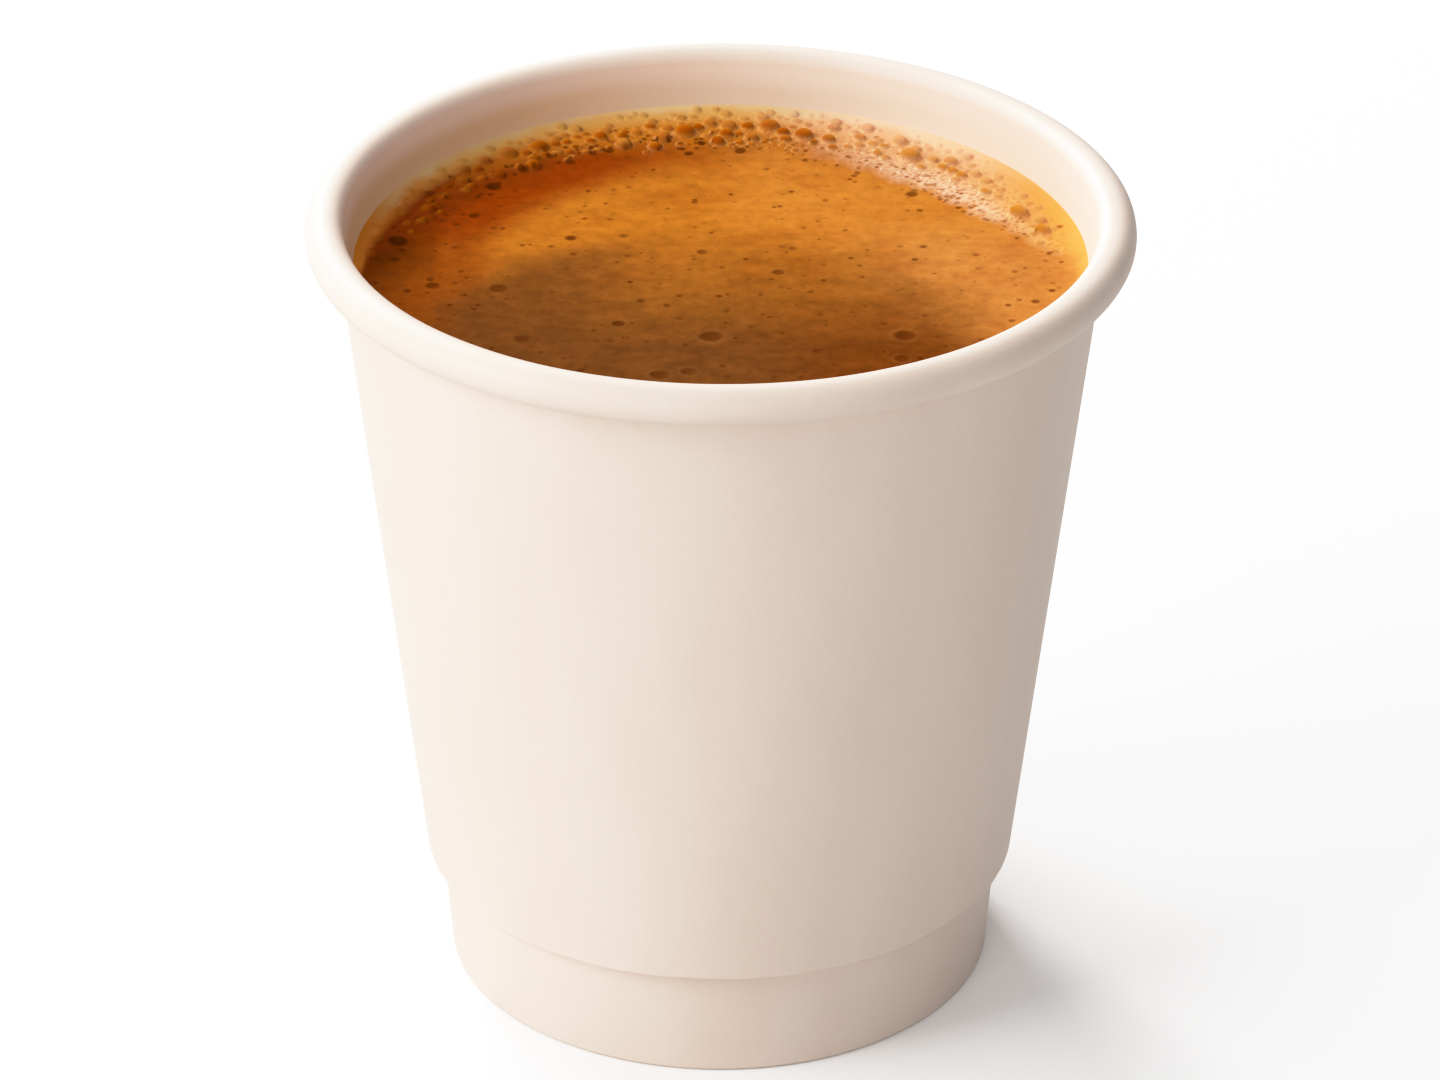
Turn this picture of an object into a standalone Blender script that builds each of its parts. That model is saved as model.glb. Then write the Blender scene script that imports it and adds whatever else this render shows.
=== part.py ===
"""An espresso with its crema, in a small double-wall paper cup.

Metres, +Z up. The cup stands on z = 0 with its axis on Z. Five pieces: the cup's wall with its
rolled rim and folded foot, the base disc pressed into that foot, the outer wrap that makes the
second wall, the coffee, and the crema that floats on it.
"""

import math

import bmesh
import bpy
import numpy as np

# Paper and clearances
PAPER = 0.00035          # one layer of coated board
GAP = 0.0003             # left between pieces that touch
ROUND_STEPS = 64         # sides of every turned piece

# Rolled rim: a bead of paper round the mouth
RIM_RADIUS = 0.0310      # the widest point of the cup
CUP_HEIGHT = 0.06275     # the top of the bead
ROLL_RADIUS = 0.00145
ROLL_END = -150.0        # degrees round the bead where its end meets the wall's outside
ROLL_STEP = 23.0         # degrees, the longest side of the bead's faceted section

# Inner cup: a straight cone, a little steeper at the foot, flared where it meets the roll
FOOT_RADIUS = 0.0210     # outside, on the table
SHOULDER_RADIUS = 0.0217
SHOULDER_Z = 0.0092      # the foot band ends here, under the wrap's lower edge
MOUTH_RADIUS = 0.02784   # outside, where the flare begins
MOUTH_Z = 0.0590
HEM_HEIGHT = 0.0055      # the wall folds in and up round the base disc's skirt
FOLD_ROUND = 0.00035
CORNER_STEP = 32.0       # degrees, the same for the small rounded corners

# Base disc: raised, with a skirt turned down into the fold
BASE_TOP = 0.0062
BASE_ROUND = 0.0006

# Outer wrap
WRAP_TOP_RADIUS = 0.02862
WRAP_TOP_Z = 0.0598      # just under the bead
WRAP_FOOT_RADIUS = 0.0228
WRAP_FOOT_Z = 0.0092
WRAP_HEM_HEIGHT = 0.0022  # the lower edge is folded in, to meet the inner cup
WRAP_EDGE_ROUND = 0.00025

# Drink
CREMA_LEVEL = 0.0579     # the flat middle of the foam
CREMA_DEPTH = 0.0025
MENISCUS_RISE = 0.0005   # the foam climbs the wall
MENISCUS_REACH = 0.0009

# Froth: the ring of bubbles along the wall, thick at the back and left, thin in front
FROTH_SEED = 11
FROTH_COUNT = 104
FROTH_MIDDLE = 110.0     # degrees, the direction in which the ring is thickest
FROTH_SPREAD = 58.0      # degrees, how the bubbles thin out to both sides of it
FROTH_INNER = 0.0218
FROTH_OUTER = 0.0266
BUBBLE_SMALLEST = 0.00055
BUBBLE_LARGEST = 0.00120
BUBBLE_FLATNESS = 0.42   # height of a dome over its radius
BUBBLE_SINK = 0.10       # how deep a dome's centre lies, over its radius
BUBBLE_SIDES = 8
BUBBLE_RINGS = 4

# Open pits in the foam: place from the axis and mean radius
PITS = (
    (-0.0243, 0.0038, 0.00080),
    (-0.0187, 0.0086, 0.00050),
    (-0.0174, 0.0137, 0.00068),
    (-0.0214, -0.0035, 0.00062),
    (-0.0165, -0.0039, 0.00068),
    (-0.0113, 0.0047, 0.00048),
    (-0.0075, -0.0097, 0.00050),
    (-0.0007, -0.0118, 0.00085),
    (0.0043, -0.0011, 0.00050),
    (0.0135, -0.0115, 0.00080),
    (0.0146, 0.0126, 0.00055),
    (0.0132, -0.0153, 0.00055),
    (-0.0044, -0.0180, 0.00070),
)
PIT_DEPTH = 0.00035


def clear_scene():
    for obj in list(bpy.data.objects):
        bpy.data.objects.remove(obj, do_unlink=True)


def finish(name, color, roughness, coat=0.0):
    """A plain material of one colour."""
    material = bpy.data.materials.new(name)
    material.use_nodes = True
    shader = material.node_tree.nodes["Principled BSDF"]
    shader.inputs["Base Color"].default_value = (*color, 1.0)
    shader.inputs["Roughness"].default_value = roughness
    shader.inputs["Metallic"].default_value = 0.0
    shader.inputs["Coat Weight"].default_value = coat
    return material


def line_radius(z, low, high):
    """Radius at height z on the straight line from low to high, each (radius, z)."""
    share = (z - low[1]) / (high[1] - low[1])
    return low[0] + share * (high[0] - low[0])


def cup_outside(z):
    """Outer radius of the inner cup's wall: the foot band, then the cone."""
    foot, shoulder, mouth = (FOOT_RADIUS, 0.0), (SHOULDER_RADIUS, SHOULDER_Z), (MOUTH_RADIUS, MOUTH_Z)
    return line_radius(z, foot, shoulder) if z < SHOULDER_Z else line_radius(z, shoulder, mouth)


def wrap_outside(z):
    return line_radius(z, (WRAP_FOOT_RADIUS, WRAP_FOOT_Z), (WRAP_TOP_RADIUS, WRAP_TOP_Z))


def arc(centre, radius, stops, longest=CORNER_STEP):
    """Points on a circle in the profile's plane: through every stop, at most longest degrees apart."""
    angles = [stops[0]]
    for start, end in zip(stops, stops[1:]):
        steps = math.ceil(abs(end - start) / longest)
        angles += list(np.linspace(start, end, steps + 1)[1:])
    turns = np.radians(angles)
    return [(centre[0] + radius * math.cos(a), centre[1] + radius * math.sin(a)) for a in turns]


def turned(name, outline, material):
    """Spins a closed outline of (radius, z) points round Z; points on the axis become poles."""
    mesh = bpy.data.meshes.new(name)
    form = bmesh.new()
    section = [form.verts.new((radius, 0.0, z)) for radius, z in outline]
    loop = section + section[:1]
    edges = [form.edges.new(pair) for pair in zip(loop, loop[1:]) if max(v.co.x for v in pair) > 0.0]
    bmesh.ops.spin(
        form,
        geom=section + edges,
        cent=(0.0, 0.0, 0.0),
        axis=(0.0, 0.0, 1.0),
        angle=2.0 * math.pi,
        steps=ROUND_STEPS,
        use_merge=True,
    )
    bmesh.ops.remove_doubles(form, verts=form.verts, dist=1e-7)
    bmesh.ops.recalc_face_normals(form, faces=form.faces)
    form.to_mesh(mesh)
    form.free()
    mesh.shade_smooth()
    mesh.set_sharp_from_angle(angle=math.radians(35.0))
    mesh.materials.append(material)
    obj = bpy.data.objects.new(name, mesh)
    bpy.context.scene.collection.objects.link(obj)
    return obj


def flare_angle(roll_centre):
    """Degrees at which the inner surface, running up from the mouth, touches the roll's circle."""
    across = roll_centre[0] - (MOUTH_RADIUS - PAPER)
    up = roll_centre[1] - MOUTH_Z
    opening = math.asin(ROLL_RADIUS / math.hypot(across, up))
    return 90.0 + math.degrees(math.atan2(up, across) + opening)


def inner_cup(material):
    """The wall: from the fold at the foot up the inside, over the roll, and down the outside."""
    roll_centre = (RIM_RADIUS - ROLL_RADIUS, CUP_HEIGHT - ROLL_RADIUS)
    hem_inset = 2.0 * (PAPER + GAP)
    slot_top = PAPER
    corner = FOLD_ROUND
    hem_inside = cup_outside(0.0) - hem_inset - PAPER
    outline = [
        (cup_outside(slot_top) - hem_inset, slot_top),
        (cup_outside(HEM_HEIGHT) - hem_inset, HEM_HEIGHT),
        (cup_outside(HEM_HEIGHT) - hem_inset - PAPER, HEM_HEIGHT),
    ]
    outline += arc((hem_inside + corner, corner), corner, (180.0, 270.0))
    outline += arc((FOOT_RADIUS - corner, corner), corner, (270.0, 360.0))
    outline += [
        (SHOULDER_RADIUS, SHOULDER_Z),
        (MOUTH_RADIUS, MOUTH_Z),
    ]
    outline += arc(roll_centre, ROLL_RADIUS, (ROLL_END, 0.0, 90.0, flare_angle(roll_centre)), ROLL_STEP)
    outline += [
        (MOUTH_RADIUS - PAPER, MOUTH_Z),
        (SHOULDER_RADIUS - PAPER, SHOULDER_Z),
        (cup_outside(slot_top) - PAPER, slot_top),
    ]
    return turned("inner_cup", outline, material)


def base_disc(material):
    """A shallow pan upside down: a flat disc with its skirt turned down into the fold."""
    skirt_foot = PAPER + GAP
    outer_inset = PAPER + GAP
    inner_inset = outer_inset + PAPER
    edge = cup_outside(BASE_TOP) - outer_inset
    under_edge = cup_outside(BASE_TOP - PAPER) - inner_inset
    under_round = BASE_ROUND - PAPER
    outline = [(0.0, BASE_TOP - PAPER)]
    under_centre = (under_edge - under_round, BASE_TOP - BASE_ROUND)
    outline += arc(under_centre, under_round, (90.0, 0.0))
    outline += [
        (cup_outside(skirt_foot) - inner_inset, skirt_foot),
        (cup_outside(skirt_foot) - outer_inset, skirt_foot),
    ]
    outline += arc((edge - BASE_ROUND, BASE_TOP - BASE_ROUND), BASE_ROUND, (0.0, 90.0))
    outline += [(0.0, BASE_TOP)]
    return turned("base_disc", outline, material)


def outer_wrap(material):
    """The second wall: a cone under the roll's lip, with its lower edge folded in."""
    low, fold_top = WRAP_FOOT_Z, WRAP_FOOT_Z + WRAP_HEM_HEIGHT
    corner = WRAP_EDGE_ROUND
    edge_inside = cup_outside(low) + GAP
    outline = arc((edge_inside + corner, low + corner), corner, (180.0, 270.0))
    outline += arc((WRAP_FOOT_RADIUS - corner, low + corner), corner, (270.0, 360.0))
    outline += [
        (WRAP_TOP_RADIUS, WRAP_TOP_Z),
        (WRAP_TOP_RADIUS - PAPER, WRAP_TOP_Z),
        (wrap_outside(fold_top) - PAPER, fold_top),
        (cup_outside(fold_top) + GAP, fold_top),
    ]
    return turned("outer_wrap", outline, material)


def drink_radius(z):
    """Radius of the drink at height z, clear of the wall."""
    return cup_outside(z) - PAPER - GAP


def coffee(material):
    """The coffee: it fills the cone from the base disc to the underside of the crema."""
    low = BASE_TOP + GAP
    high = CREMA_LEVEL - CREMA_DEPTH - GAP
    outline = [(0.0, low), (drink_radius(low), low)]
    outline += [(drink_radius(SHOULDER_Z), SHOULDER_Z), (drink_radius(high), high), (0.0, high)]
    return turned("coffee", outline, material)


def foam_height(radius):
    """The foam's own level: flat, then rising against the wall."""
    edge = drink_radius(CREMA_LEVEL + MENISCUS_RISE)
    return CREMA_LEVEL + MENISCUS_RISE * math.exp((radius - edge) / MENISCUS_REACH)


def lens(name, place, radius, half_height):
    """A small flattened ball, for one bubble or one pit."""
    mesh = bpy.data.meshes.new(name)
    form = bmesh.new()
    bmesh.ops.create_uvsphere(form, u_segments=BUBBLE_SIDES, v_segments=BUBBLE_RINGS, radius=1.0)
    bmesh.ops.scale(form, vec=(radius, radius, half_height), verts=form.verts)
    bmesh.ops.translate(form, vec=place, verts=form.verts)
    form.to_mesh(mesh)
    form.free()
    return bpy.data.objects.new(name, mesh)


def gathered(name, shapes):
    """A collection of helper shapes that a Boolean reads and a render leaves out."""
    group = bpy.data.collections.new(name)
    bpy.context.scene.collection.children.link(group)
    group.hide_render = True
    for shape in shapes:
        shape.hide_render = True
        shape.display_type = "WIRE"
        group.objects.link(shape)
    return group


def join_or_cut(obj, group, operation):
    """Applies one Boolean with the whole collection, then removes the collection."""
    modifier = obj.modifiers.new(group.name, "BOOLEAN")
    modifier.operation = operation
    modifier.operand_type = "COLLECTION"
    modifier.collection = group
    modifier.solver = "EXACT"
    bpy.context.view_layer.update()
    evaluated = obj.evaluated_get(bpy.context.evaluated_depsgraph_get())
    shape = bpy.data.meshes.new_from_object(evaluated)
    obj.modifiers.clear()
    obj.data = shape
    for helper in list(group.objects):
        bpy.data.objects.remove(helper, do_unlink=True)
    bpy.data.collections.remove(group)


def froth_places():
    """Seeded draws of (x, y, radius) in the froth ring, the larger ones first, none far inside another."""
    draw = np.random.default_rng(FROTH_SEED)
    sizes = BUBBLE_SMALLEST + (BUBBLE_LARGEST - BUBBLE_SMALLEST) * draw.random(FROTH_COUNT) ** 2.0
    kept = []
    for radius in sorted(sizes, reverse=True):
        for _ in range(60):
            spread = math.radians(draw.normal(FROTH_MIDDLE, FROTH_SPREAD))
            angle = spread if draw.random() < 0.8 else draw.uniform(0.0, 2.0 * math.pi)
            distance = FROTH_OUTER - 0.5 * radius - (FROTH_OUTER - FROTH_INNER) * draw.random() ** 1.4
            x, y = distance * math.cos(angle), distance * math.sin(angle)
            if all(math.hypot(x - a, y - b) > 0.90 * (radius + c) for a, b, c in kept):
                kept.append((x, y, radius))
                break
    return kept


def crema(material):
    """The foam: a disc with a risen edge, a ring of froth bubbles along it and open pits."""
    low = CREMA_LEVEL - CREMA_DEPTH
    edge = drink_radius(CREMA_LEVEL + MENISCUS_RISE)
    outline = [(0.0, low), (drink_radius(low), low)]
    outline += [(edge - back, foam_height(edge - back)) for back in (0.0, 0.0005, 0.0012, 0.0024, 0.0050)]
    outline += [(0.0130, CREMA_LEVEL), (0.0, CREMA_LEVEL)]
    foam = turned("crema", outline, material)

    bubbles = [
        lens(f"bubble_{i}", (x, y, foam_height(math.hypot(x, y)) - BUBBLE_SINK * r), r, BUBBLE_FLATNESS * r)
        for i, (x, y, r) in enumerate(froth_places())
    ]
    join_or_cut(foam, gathered("froth", bubbles), "UNION")
    pits = [
        lens(f"pit_{i}", (x, y, foam_height(math.hypot(x, y)) + 0.3 * PIT_DEPTH), r, 1.3 * PIT_DEPTH)
        for i, (x, y, r) in enumerate(PITS)
    ]
    join_or_cut(foam, gathered("pits", pits), "DIFFERENCE")
    foam.data.shade_smooth()
    foam.data.set_sharp_from_angle(angle=math.radians(40.0))
    return foam


def main():
    clear_scene()
    board = finish("coated_board", (0.86, 0.77, 0.71), 0.45)
    wrap_board = finish("wrap_board", (0.86, 0.77, 0.71), 0.75)
    drink = finish("black_coffee", (0.03, 0.012, 0.006), 0.08, coat=1.0)
    foam = finish("crema_foam", (0.52, 0.19, 0.035), 0.35, coat=0.6)
    inner_cup(board)
    base_disc(board)
    outer_wrap(wrap_board)
    coffee(drink)
    crema(foam)


main()
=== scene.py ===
"""Looks for an espresso with a froth-edged crema in a small double-wall paper cup.

Metres, +Z up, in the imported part's own frame: the cup stands on z = 0 with its axis on Z. Every new
piece is a numpy surface: an outline turned round Z, or a height over a plan of points.
"""

import math

import bpy
import numpy as np
from mathutils import Matrix, Vector


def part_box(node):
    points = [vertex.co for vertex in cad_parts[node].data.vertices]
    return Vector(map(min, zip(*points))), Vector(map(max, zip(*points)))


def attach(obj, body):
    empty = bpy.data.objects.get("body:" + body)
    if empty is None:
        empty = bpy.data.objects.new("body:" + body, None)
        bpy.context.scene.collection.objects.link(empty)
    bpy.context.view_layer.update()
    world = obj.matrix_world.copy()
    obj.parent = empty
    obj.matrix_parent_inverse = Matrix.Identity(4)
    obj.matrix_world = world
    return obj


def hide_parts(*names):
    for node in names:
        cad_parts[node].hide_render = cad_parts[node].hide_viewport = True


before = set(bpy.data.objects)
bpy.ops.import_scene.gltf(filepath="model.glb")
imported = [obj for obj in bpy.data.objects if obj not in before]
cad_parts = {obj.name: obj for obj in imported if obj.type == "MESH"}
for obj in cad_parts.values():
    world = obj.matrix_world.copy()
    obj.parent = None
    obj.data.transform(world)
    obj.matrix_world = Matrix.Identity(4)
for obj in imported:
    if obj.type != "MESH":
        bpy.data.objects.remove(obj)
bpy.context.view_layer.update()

MM = 0.001

# The cup, as the part's source draws it
RIM_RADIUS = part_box("inner_cup")[1][0]
CUP_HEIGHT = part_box("inner_cup")[1][2]
PAPER = 0.35 * MM
GAP = 0.3 * MM
ROLL_RADIUS = 1.45 * MM
ROLL_END = -150.0  # degrees: where the roll's edge meets the cup again
ROLL_FULLNESS = 2.5  # of the roll's top, on the side of the drink; 2 would be a circle
FOOT_RADIUS = 21.0 * MM
SHOULDER_RADIUS = 21.7 * MM
SHOULDER_Z = 9.2 * MM
MOUTH_RADIUS = 27.84 * MM
MOUTH_Z = 59.0 * MM
HEM_HEIGHT = 5.5 * MM
FOLD_ROUND = 0.35 * MM
BASE_TOP = 6.2 * MM
BASE_ROUND = 0.6 * MM
WRAP_TOP_RADIUS = 28.62 * MM
WRAP_TOP_Z = 59.8 * MM
WRAP_FOOT_RADIUS = 22.8 * MM
WRAP_FOOT_Z = 9.2 * MM
WRAP_HEM_HEIGHT = 2.2 * MM
WRAP_EDGE_ROUND = 0.25 * MM

# How finely the cup is drawn
TURN_STEPS = 288
ARC_STEP = 7.5  # degrees
WALL_STEP = 1.6 * MM  # longest straight stretch of an outline
PAPER_CREASE, FOAM_CREASE = 35.0, 50.0  # degrees: edges sharper than this stay crisp

# Unevenness of the paper
RIM_SWAY = 0.05 * MM
WALL_SWAY = 0.035 * MM
WRAP_SWAY = 0.3 * WALL_SWAY
EDGE_SWAY = 0.09 * MM  # up and down, along the wrap's lower edge,
EDGE_SWAY_Z = 4.0 * MM  # dying out over this height
SEAM_ANGLE = 97.0  # degrees: the wrap's overlap is at the back
SEAM_PAIR = (-1e-3, 2e-3)  # radians from there, two angles close together for a crisp step
SEAM_STEP = 0.28 * MM
SEAM_LEAD = 26.0  # degrees over which the upper layer rises to the step

# Ripples round the cup: how many waves each of the sines has, and the seed of their draws
RIPPLES = {
    "wall": ((2, 3, 5), 31),
    "rim": ((4, 7, 11, 17), 32),
    "wrap": ((3, 4, 9), 33),
    "wrap_edge": ((6, 13, 29, 47), 34),
    "froth": ((17, 29, 41, 67), 35),
}
LARGEST_LEAN = 60.0  # of a ripple, in radians for each metre of height

# The drink's levels, as the part's source has them
CREMA_LEVEL = 57.9 * MM
CREMA_DEPTH = 2.5 * MM
MENISCUS_RISE = 0.5 * MM
MENISCUS_REACH = 0.9 * MM
INTO_WALL = 0.08 * MM  # the foam reaches this far into the paper, so that no gap shows
SWELL = 0.012 * MM  # of the foam's level, with waves of so many radians in a metre
SWELL_X, SWELL_BEND, SWELL_Y = 410.0, 300.0, 360.0

# The froth: its inner and outer edges round the cup, (angle in degrees, radius in mm)
FROTH_INNER = (
    (-20, 27.9), (0, 26.0), (6, 24.4), (12, 22.9), (18, 21.8), (25, 20.9), (37, 20.1), (46, 19.7),
    (57, 19.5), (66, 19.7), (75, 20.0), (90, 20.4), (106, 20.8), (122, 21.4), (142, 21.7), (161, 22.2),
    (170, 23.4), (179, 25.0), (187, 26.6), (196, 27.9),
)
FROTH_OUTER = ((-20, 26.2), (19, 26.6), (45, 27.3), (60, 27.5), (90, 27.6), (150, 27.5), (180, 27.1))
FROTH_FADE = 1.6 * MM
FROTH_LUMPS = 0.6 * MM
FROTH_BODY = 0.2 * MM  # the froth stands this much above the middle
WALLWARD = 27.0 * MM  # from its inner edge out to here the froth turns from amber to gold
WALLWARD_LEAST = 1.0 * MM  # the least width over which it does

# Its larger bubbles: (angle in degrees, distance from the axis, radius), in mm
BUBBLES = (
    (97, 23.2, 0.86), (89, 22.7, 0.63), (81, 24.2, 0.89), (74, 23.3, 0.83), (69, 23.3, 0.6),
    (52, 23.7, 0.91), (48, 24.4, 0.52), (45, 25.0, 0.6), (57, 25.4, 0.66), (35, 24.8, 0.52),
    (29, 24.1, 0.4), (21, 24.2, 0.83), (17, 25.2, 0.58), (13, 24.9, 0.68), (9, 24.3, 0.37),
    (11, 26.2, 0.29), (5, 25.2, 0.33), (64, 24.6, 0.52), (62, 22.6, 0.33), (113, 24.0, 0.6),
    (118, 22.3, 0.33), (109, 23.6, 0.52), (106, 23.9, 0.5), (103, 24.7, 0.52), (106, 20.7, 0.31),
    (100, 24.1, 0.5), (92, 24.6, 0.58), (81, 21.7, 0.31), (77, 24.7, 0.37), (74, 20.9, 0.31),
    (86, 25.6, 0.4), (95, 25.9, 0.37), (125, 24.6, 0.84), (123, 23.2, 0.42), (119, 23.4, 0.37),
    (131, 25.2, 0.86), (138, 23.0, 0.64), (136, 25.4, 0.67), (141, 25.5, 0.67), (144, 24.4, 0.64),
    (148, 24.7, 0.42), (153, 25.7, 0.67), (155, 23.9, 0.4), (158, 26.2, 0.47), (128, 23.4, 0.51),
    (110, 25.7, 0.4), (116, 25.9, 0.58),
)
BUBBLE_HEIGHT = (0.35, 0.95)  # of a dome, as a share of its radius,
BUBBLE_SIZES = (0.15 * MM, 0.6 * MM)  # for the smallest and the largest
BUBBLE_SINK = 0.1  # a dome's middle lies this far down, as a share of its radius
LOWERING = (-21.0 * MM, -9.0 * MM)  # from here to here along X, the domes
LOWERED = (0.65, 1.0)  # stand by this share of their height

# The smaller ones, filled in from large to small where there is room
FINE_SEED = 23
FINE_RADII = (0.62, 0.5, 0.4, 0.31, 0.24, 0.18, 0.14, 0.11)  # mm
FINE_TRIES = (220, 500, 700, 800, 1100, 1600, 2000, 2400)
FINE_JITTER = (0.88, 1.12)  # their radii differ from those by these shares
FINE_SPAN = (19.0 * MM, 28.0 * MM)  # from the axis, where they are tried
FINE_LEAST = 0.25  # the share of them that stays where the froth only begins
CLOSENESS = 0.88  # the least distance of two middles, as a share of their radii together
INNER_ROOM = 1.1  # a middle keeps this many radii from the froth's inner edge
OUTER_ROOM = 1.6  # and this many from its outer edge
TINY = 0.25 * MM  # bubbles smaller than this lie within
TINY_REACH = 2.8 * MM  # this distance of the inner edge,
TINY_UNTIL = 96.0  # and no further round to the left than this angle, in degrees;
SMALL = 0.34 * MM  # bubbles smaller than this lie
SMALL_UNTIL = 124.0  # no further round than this one
GRAIN = 0.22 * MM  # bubbles larger than this keep out of the fine-grained foam on the right,
GRAIN_REACH = 2.4 * MM  # which is this wide
FADING = (3.0 * MM, 11.0 * MM)  # from here to here along X, small bubbles grow pale:
FADED = (0.12 * MM, 0.22 * MM)  # those of this radius and less have no colour of their own,
DEEPENING = 0.34 * MM  # and those larger than that by this much have all of it

# The pale film round a bubble: widths and distances are shares of the bubble's radius
FILM_LEAST = 0.28 * MM  # bubbles larger than this have all of it
FILM_REACH = 1.4
FILM_CREST, FILM_WIDTH = 1.08, 0.24
FILM_SHARE, FILM_LEAN = 0.75, 0.55  # how strong it is, and how much weaker towards the axis
FILM_WEAKEST = 0.15

# Plan of the crema: a round middle drawn on a square grid, and two rings round it
MIDDLE_RADIUS = 20.6 * MM
MIDDLE_CELLS = 300
RING_SPLIT = 24.0 * MM
RING_COLUMNS = 1800
BAND_ROWS = 40
FROTH_ROWS = 47

# Open pits in the foam: (x, y, radius) in mm, and how dark the inside looks, 0 to 1
PITS = (
    (-24.3, 3.8, 0.8, 0.95), (-18.7, 8.6, 0.46, 0.75), (-17.4, 13.7, 0.62, 0.95),
    (-21.4, -3.5, 0.55, 0.72), (-16.5, -3.9, 0.68, 0.6), (-11.3, 4.7, 0.46, 0.85),
    (-7.5, -9.7, 0.5, 0.78), (-0.7, -11.8, 0.85, 0.62), (4.3, -1.1, 0.5, 0.62),
    (13.5, -11.5, 0.8, 0.68), (14.6, 12.6, 0.5, 0.75), (13.2, -15.3, 0.55, 0.6),
    (-4.4, -18.0, 0.7, 0.52), (-14.5, -12.3, 0.62, 0.58), (-1.4, 2.3, 0.42, 0.6),
    (5.4, 3.0, 0.3, 0.5), (7.0, -14.1, 0.36, 0.55), (23.3, -5.9, 0.34, 0.7),
    (-2.3, -17.5, 0.6, 0.4), (-8.0, -12.5, 0.3, 0.45), (-7.3, 5.1, 0.38, 0.5),
    (-8.6, 20.0, 0.36, 0.8), (-5.1, 21.7, 0.28, 0.85), (-4.0, 22.3, 0.28, 0.9),
    (-2.5, 19.8, 0.38, 0.85), (-1.5, 21.4, 0.34, 0.9), (1.5, 20.2, 0.46, 0.8),
    (6.5, 18.6, 0.26, 0.7), (-11.6, 18.1, 0.42, 0.7), (-15.2, 16.5, 0.45, 0.75),
    (-22.2, 12.0, 0.4, 0.6), (-22.9, 7.6, 0.34, 0.7), (-20.0, 7.0, 0.3, 0.55),
    (-24.4, 0.9, 0.4, 0.6), (25.6, 6.2, 0.3, 0.8), (24.7, 2.2, 0.26, 0.75),
    (24.6, -4.1, 0.28, 0.75), (-9.9, 19.6, 0.34, 0.75), (-13.2, 18.9, 0.36, 0.6),
)
SPECK_SEED = 5
SPECK_COUNT = 760  # tiny pits over the whole crema,
SPECK_SPAN = 26.0 * MM  # out to here
SPECK_SIZES = (0.07 * MM, 0.3 * MM)
SPECK_DARKNESS = (0.15, 0.75)
PORE_COUNT = 180  # burst bubbles in the froth, between these angles in degrees,
PORE_ANGLES = (12.0, 168.0)
PORE_REACH = 2.6 * MM  # and within this distance of its inner edge
PORE_SIZES = (0.1 * MM, 0.25 * MM)
PORE_DARKNESS = (0.4, 0.85)

# A pit's depth, dark inside, raised lip and pale lip: lengths are shares of its radius
PIT_DEPTH = 0.12
PIT_DEEPEST = 0.14 * MM
PIT_REACH = 1.6
PIT_EDGE, PIT_SOFTNESS = 1.12, 0.35  # the dark ends here, over this width
LIP_CREST, LIP_WIDTH, LIP_HEIGHT = 1.2, 0.2, 0.006
LIPPED = 0.48 * MM  # pits larger than this have a paler lip as well
PALE_LIP_CREST, PALE_LIP_WIDTH, PALE_LIP = 1.28, 0.2, 0.05

# Where the crema's tones change: each stretch is (from, to) in mm, along X or Y, or out from a centre
PATCH_CENTRE = (-0.9 * MM, -14.1 * MM)
PATCH_Y, PATCH_REACH = (10.0, -13.5), (24.5, 16.5)  # the brown patch at the front, partly painted shade
SPREAD_REACH, SPREAD_X = (21.8, 17.8), (-4.0, -13.0)  # its spread to the left
BAND_REACH, BAND_X, BAND_Y = (14.5, 19.5), (8.0, -11.0), (1.0, 9.0)  # painted shade inside the froth, deepening the rim's own shadow there
LIT_X, LIT_Y = (-5.0, 7.0), (0.0, 11.0)
PALE_X, RED_X = (4.0, 17.0), (0.0, 12.0)
# Painted shade on the left of the crema, where the rim's shadow falls, darker still near the wall
FAR_LEFT_X = (-15.0, -19.0)
LEFT_EDGE_REACH, LEFT_EDGE_Y = (20.3, 23.2), (-4.0, 2.0)
WALL_REACH, EDGE_REACH, EDGE_X = (26.0, 27.3), (26.3, 27.4), (22.0, 14.0)
NEAR_Y = (-11.0, -3.0)  # towards the front the wall's gold and pale edge fade
SIDE_X, RIGHT_X = (-22.0, -8.0), (2.0, 12.0)

# And the froth's, along X: a colour for the left gives way to the centre's, and that to the right's
INNER_X = (-19.0, -1.0), (4.0, 18.0)
MIDDLE_X = (-23.0, -10.0), (0.0, 12.0)
OUTER_X = (-26.0, -19.0), (0.0, 10.0)
BUBBLE_X = (-22.0, -10.0), (6.0, 14.0)
WALL_X = (-27.0, -23.5), (2.0, 12.0)
HONEY_X = (18.5, 26.0)
CELL_X = (-12.0, 10.0)
FILM_X = (-16.0, 4.0)
DRY_X = (16.0, 22.0)

# Shares and least values that go with those stretches
SPREAD_SHARE, LEFT_EDGE_LEAST, NEAR_LEAST = 0.75, 0.15, 0.1
HONEY_SHARE, FROTH_SHARE, WALL_SHARE = 0.9, 0.95, 0.75
CELL_SHARES, FILM_SHARES = (0.1, 0.65), (0.1, 0.62)

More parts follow.
